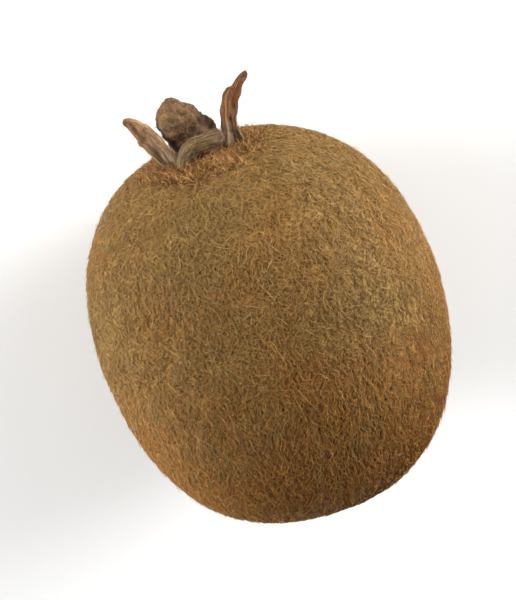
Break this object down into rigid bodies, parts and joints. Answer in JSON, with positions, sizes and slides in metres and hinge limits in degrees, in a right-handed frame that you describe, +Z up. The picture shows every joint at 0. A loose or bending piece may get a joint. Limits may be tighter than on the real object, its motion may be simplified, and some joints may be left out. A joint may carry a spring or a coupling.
{
  "type": "kiwi fruit",
  "caption": "Whole kiwi fruit lying on its side on a small flat spot, with a dried stem stub, curled dried sepals and a withered style tuft.",
  "frame": {"origin": "on the resting surface, under the middle of the whole fruit's bounding box", "axes": "+Z up; the long axis lies along Y with the stem end facing -Y; X across"},
  "size_m": [0.0566, 0.077, 0.0522],
  "materials": {
    "skin": "dull olive-brown skin under short golden-brown fuzz",
    "dry_stem": "dried, shrivelled and fibrous",
    "dry_sepal": "dried, matt and papery",
    "dry_styles": "withered and almost black"
  },
  "bodies": {
    "root": {"fruit": "skin", "stem_stub": "dry_stem", "sepal_left": "dry_sepal", "sepal_right": "dry_sepal", "sepal_front": "dry_sepal", "sepal_back_left": "dry_sepal", "sepal_back_right": "dry_sepal", "style_tuft": "dry_styles"}
  },
  "joints": []
}
